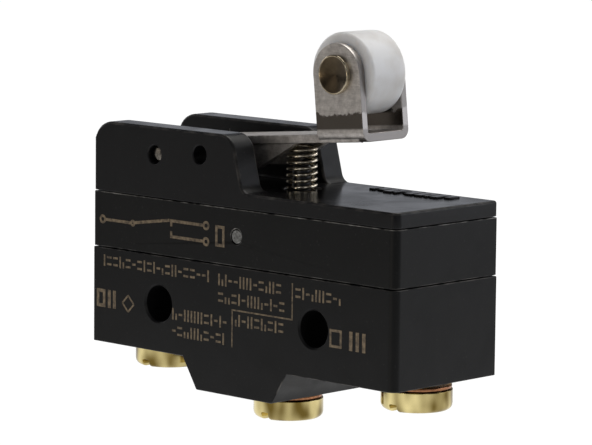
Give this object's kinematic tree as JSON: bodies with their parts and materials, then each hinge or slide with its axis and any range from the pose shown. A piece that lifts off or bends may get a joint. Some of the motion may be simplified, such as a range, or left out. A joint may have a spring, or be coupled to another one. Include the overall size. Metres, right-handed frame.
{
  "type": "limit switch",
  "caption": "Snap-action limit switch: block-shaped moulded body with screw terminals below, and a hinged lever with a return spring and a forked roller on top.",
  "frame": {"origin": "midway between the two mounting holes, on the back mounting face", "axes": "+X along the body from the lever's hinge end to the free end, +Y out of the back mounting face, +Z from the terminals towards the roller"},
  "size_m": [0.0492, 0.0174, 0.0464],
  "materials": {
    "case_phenolic": "semi-matt moulded phenolic",
    "cover_phenolic": "semi-matt moulded phenolic",
    "bracket_phenolic": "satin moulded phenolic, smoother top face",
    "cover_pin_metal": "dull cut end",
    "pin_steel": "turned",
    "lever_stainless": "pressed sheet, fine grain",
    "rivet_steel": "headed rivet",
    "roller_acetal": "white turned acetal",
    "plunger_plastic": "moulded",
    "spring_steel": "drawn wire",
    "terminal_brass": "stamped",
    "screw_brass": "turned, polished",
    "washer_copper": "stamped",
    "contact_silver": "headed silver",
    "blade_copper": "rolled strip"
  },
  "bodies": {
    "housing": {"lower_case": "case_phenolic", "upper_cover": "cover_phenolic", "ear_bracket": "bracket_phenolic", "cover_pin_front": "cover_pin_metal", "cover_pin_back": "cover_pin_metal", "lever_pin": "pin_steel", "return_spring": "spring_steel", "terminal_common": "terminal_brass", "terminal_normally_open": "terminal_brass", "terminal_normally_closed": "terminal_brass", "terminal_screw_common": "screw_brass", "terminal_screw_normally_open": "screw_brass", "terminal_screw_normally_closed": "screw_brass", "clamp_washer_common": "washer_copper", "clamp_washer_normally_open": "washer_copper", "clamp_washer_normally_closed": "washer_copper", "fixed_contact_normally_open": "contact_silver", "fixed_contact_normally_closed": "contact_silver", "tension_anchor": "terminal_brass", "blade_rivet": "terminal_brass"},
    "lever_arm": {"lever": "lever_stainless", "roller_pin": "rivet_steel"},
    "roller_wheel": {"roller": "roller_acetal"},
    "plunger_rod": {"plunger": "plunger_plastic"},
    "contact_blade": {"snap_blade": "blade_copper", "snap_tongue": "blade_copper", "moving_contact": "contact_silver"}
  },
  "joints": [
    {"name": "lever_swing", "type": "hinge", "parent": "housing", "child": "lever_arm", "pos_m": [-0.0135, -0.00873, 0.01782], "axis": [0, 1, 0], "range_deg": [0, 10.5], "stiffness_Nm_per_rad": 0.1, "springref_deg": -8.59, "deforming": ["return_spring"]},
    {"name": "roller_spin", "type": "hinge", "parent": "lever_arm", "child": "roller_wheel", "pos_m": [0.01131, -0.00873, 0.02874], "axis": [0, 1, 0], "continuous": true},
    {"name": "plunger_slide", "type": "slide", "parent": "housing", "child": "plunger_rod", "axis": [0, 0, -1], "range_m": [0, 0.0006]},
    {"name": "blade_swing", "type": "hinge", "parent": "housing", "child": "contact_blade", "pos_m": [-0.0186, -0.00873, 0.00752], "axis": [0, 1, 0], "range_deg": [0, 1.64]}
  ],
  "couplings": [
    {"joint": "plunger_slide", "follows": "lever_swing", "m_per_rad": 0.00327},
    {"joint": "blade_swing", "follows": "lever_swing", "ratio": 0.1555}
  ]
}
